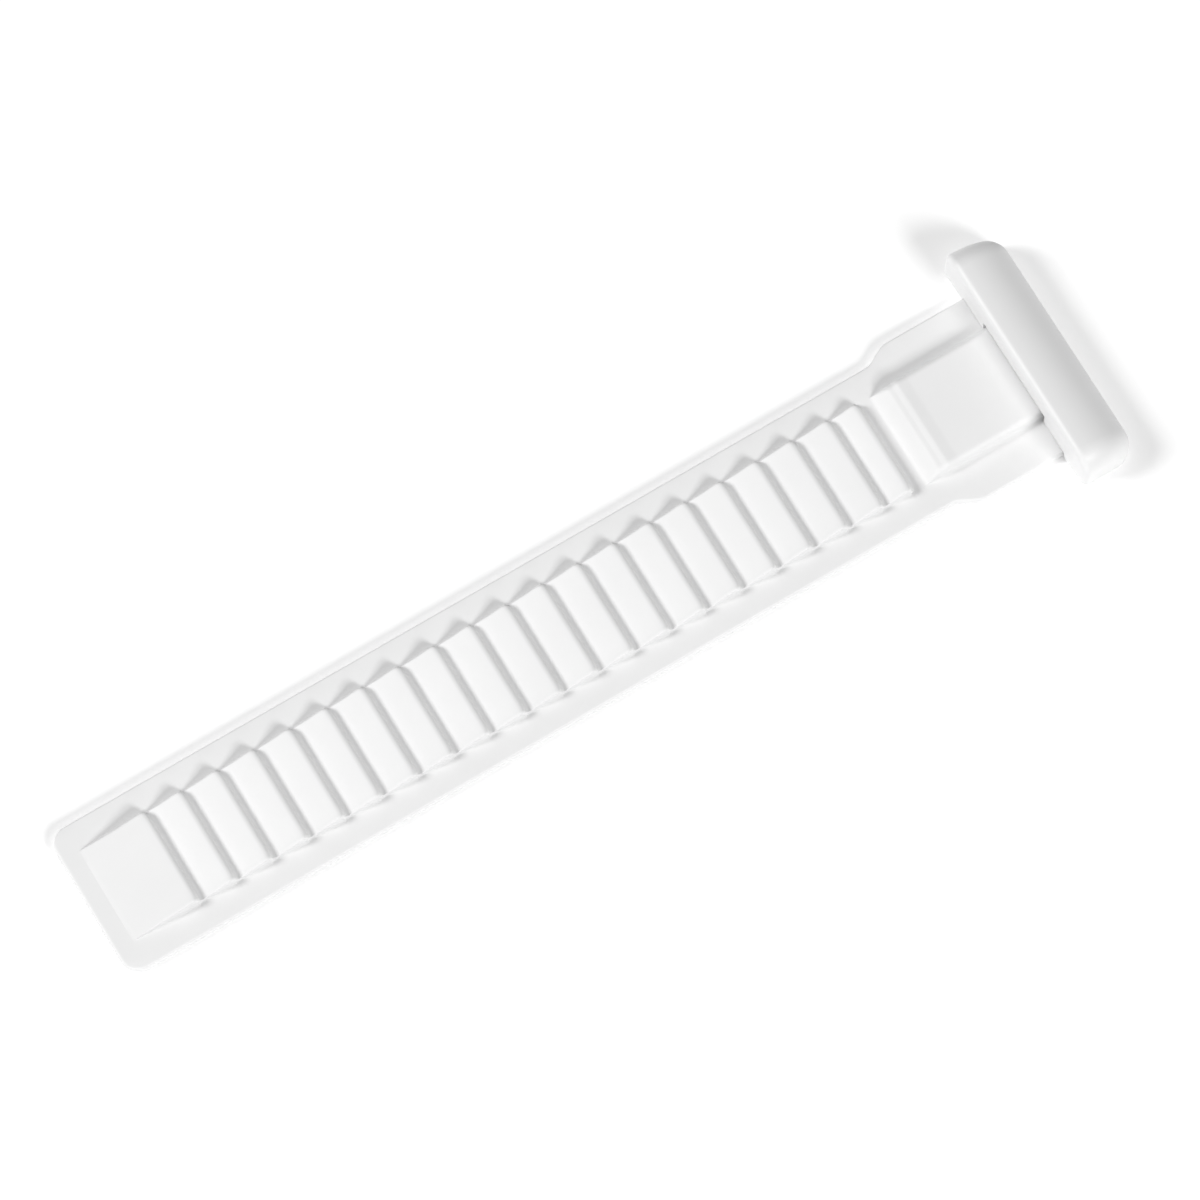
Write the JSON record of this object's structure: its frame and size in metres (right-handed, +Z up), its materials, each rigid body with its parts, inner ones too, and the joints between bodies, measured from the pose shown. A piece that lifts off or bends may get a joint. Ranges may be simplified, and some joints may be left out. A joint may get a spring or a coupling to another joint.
{
  "type": "stair gate latch strap",
  "caption": "Toothed plastic latch strap with a lead-in wedge at its free tail and a hollow T-shaped stop head, for a stair gate's ratchet catch.",
  "frame": {"origin": "on the flat underside, under the middle of the whole strap with its head", "axes": "+X along the strap from the free tail to the T-head, +Y across the strap, +Z up from the flat underside towards the teeth"},
  "size_m": [0.1366, 0.0324, 0.007],
  "materials": {
    "strap_plastic": "fine-grained white moulded nylon",
    "head_plastic": "smooth white moulded plastic, satin gloss",
    "steel": "zinc-plated steel"
  },
  "bodies": {
    "root": {"toothed_strap": "strap_plastic", "head_shell": "head_plastic", "head_cover": "head_plastic", "cover_screws": "steel", "anchor_pin": "steel"}
  },
  "joints": []
}
